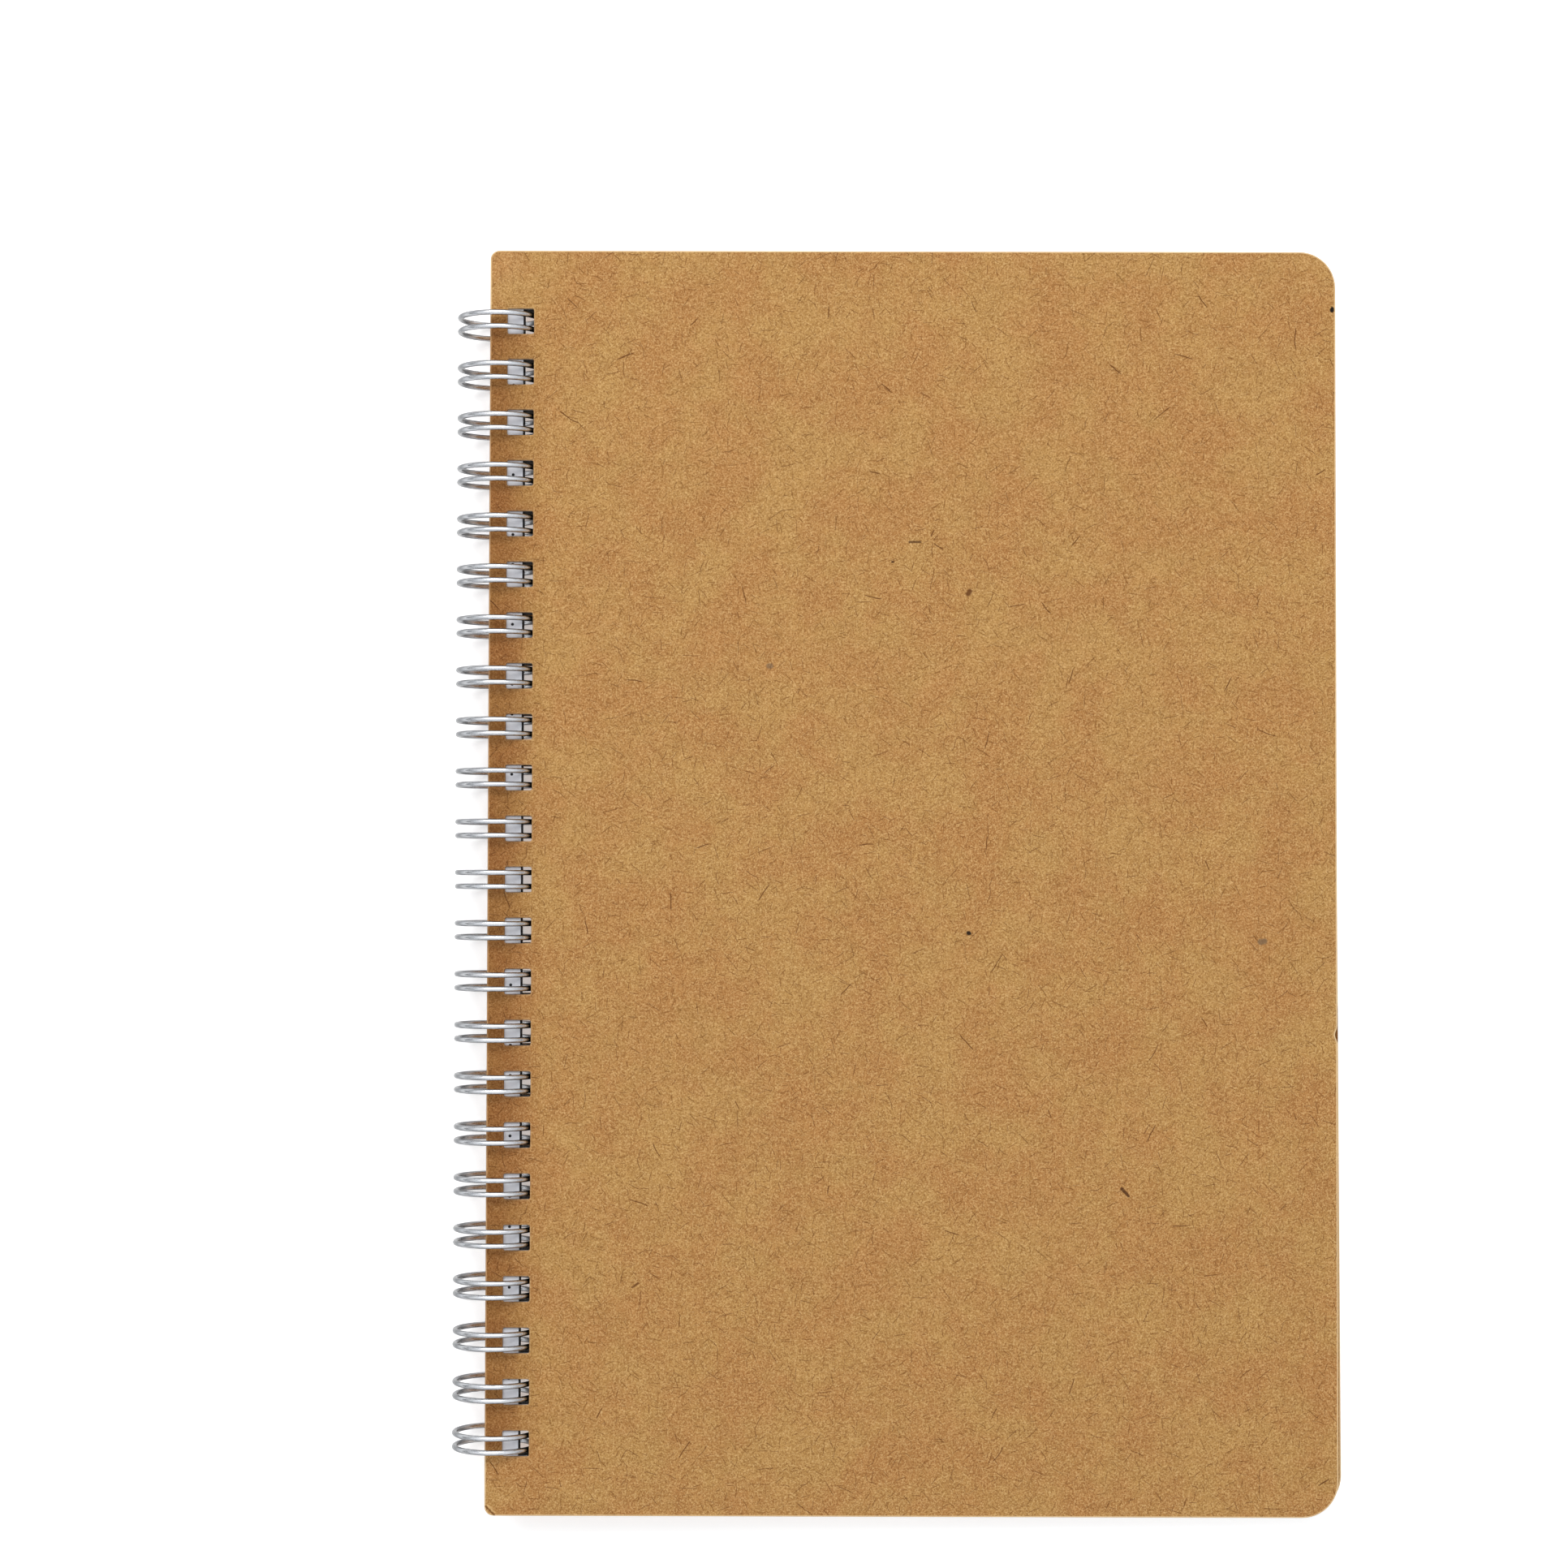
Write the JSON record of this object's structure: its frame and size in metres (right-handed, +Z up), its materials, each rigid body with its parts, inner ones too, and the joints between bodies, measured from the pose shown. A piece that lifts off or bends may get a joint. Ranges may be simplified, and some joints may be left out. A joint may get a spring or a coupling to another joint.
{
  "type": "sketchbook",
  "caption": "Twin-loop wire bound sketchbook with kraft card covers and loose punched sheets that turn about the wire and fold right round.",
  "frame": {"origin": "bottom centre of the closed book's box, under the wire loops' lowest point", "axes": "+X from the spine to the fore-edge, +Y along the spine towards the head, +Z up from the back cover to the front cover"},
  "size_m": [0.1474, 0.21, 0.0141],
  "materials": {
    "kraft_card": "uncoated felt-grained kraft board",
    "sheet_paper": "smooth white paper with a fine dot grid",
    "binding_wire": "bright silver wire"
  },
  "bodies": {
    "book_block": {"wire_binding": "binding_wire", "sheet_23": "sheet_paper", "sheet_24": "sheet_paper", "sheet_25": "sheet_paper", "sheet_26": "sheet_paper", "sheet_27": "sheet_paper", "sheet_28": "sheet_paper", "sheet_29": "sheet_paper", "sheet_30": "sheet_paper", "sheet_31": "sheet_paper", "sheet_32": "sheet_paper", "sheet_33": "sheet_paper", "sheet_34": "sheet_paper", "sheet_35": "sheet_paper", "sheet_36": "sheet_paper"},
    "upper_sheets": {"sheet_01": "sheet_paper", "sheet_02": "sheet_paper", "sheet_03": "sheet_paper", "sheet_04": "sheet_paper", "sheet_05": "sheet_paper", "sheet_06": "sheet_paper", "sheet_07": "sheet_paper", "sheet_08": "sheet_paper", "sheet_09": "sheet_paper", "sheet_10": "sheet_paper", "sheet_11": "sheet_paper", "sheet_12": "sheet_paper", "sheet_13": "sheet_paper", "sheet_14": "sheet_paper", "sheet_15": "sheet_paper", "sheet_16": "sheet_paper", "sheet_17": "sheet_paper", "sheet_18": "sheet_paper"},
    "loose_sheet_1": {"sheet_19": "sheet_paper"},
    "loose_sheet_2": {"sheet_20": "sheet_paper"},
    "loose_sheet_3": {"sheet_21": "sheet_paper"},
    "loose_sheet_4": {"sheet_22": "sheet_paper"},
    "front_cover": {"front_cover": "kraft_card"},
    "back_cover": {"back_cover": "kraft_card"}
  },
  "joints": [
    {"name": "sheets_turn", "type": "hinge", "parent": "book_block", "child": "upper_sheets", "pos_m": [-0.06662, 0, 0.00705], "axis": [0, -1, 0], "range_deg": [0, 180]},
    {"name": "front_cover_fold", "type": "hinge", "parent": "upper_sheets", "child": "front_cover", "pos_m": [-0.06662, 0, 0.0112], "axis": [0, -1, 0], "range_deg": [0, 180]},
    {"name": "back_cover_fold", "type": "hinge", "parent": "book_block", "child": "back_cover", "pos_m": [-0.06602, 0, 0.00297], "axis": [0, -1, 0], "range_deg": [-180, 0]},
    {"name": "loose_sheet_1_turn", "type": "hinge", "parent": "book_block", "child": "loose_sheet_1", "pos_m": [-0.06662, 0, 0.00705], "axis": [0, -1, 0], "range_deg": [0, 144]},
    {"name": "loose_sheet_2_turn", "type": "hinge", "parent": "book_block", "child": "loose_sheet_2", "pos_m": [-0.06662, 0, 0.00705], "axis": [0, -1, 0], "range_deg": [0, 108]},
    {"name": "loose_sheet_3_turn", "type": "hinge", "parent": "book_block", "child": "loose_sheet_3", "pos_m": [-0.06662, 0, 0.00705], "axis": [0, -1, 0], "range_deg": [0, 72]},
    {"name": "loose_sheet_4_turn", "type": "hinge", "parent": "book_block", "child": "loose_sheet_4", "pos_m": [-0.06662, 0, 0.00705], "axis": [0, -1, 0], "range_deg": [0, 36]}
  ],
  "couplings": [
    {"joint": "loose_sheet_1_turn", "follows": "sheets_turn", "ratio": 0.8},
    {"joint": "loose_sheet_2_turn", "follows": "sheets_turn", "ratio": 0.6},
    {"joint": "loose_sheet_3_turn", "follows": "sheets_turn", "ratio": 0.4},
    {"joint": "loose_sheet_4_turn", "follows": "sheets_turn", "ratio": 0.2}
  ]
}
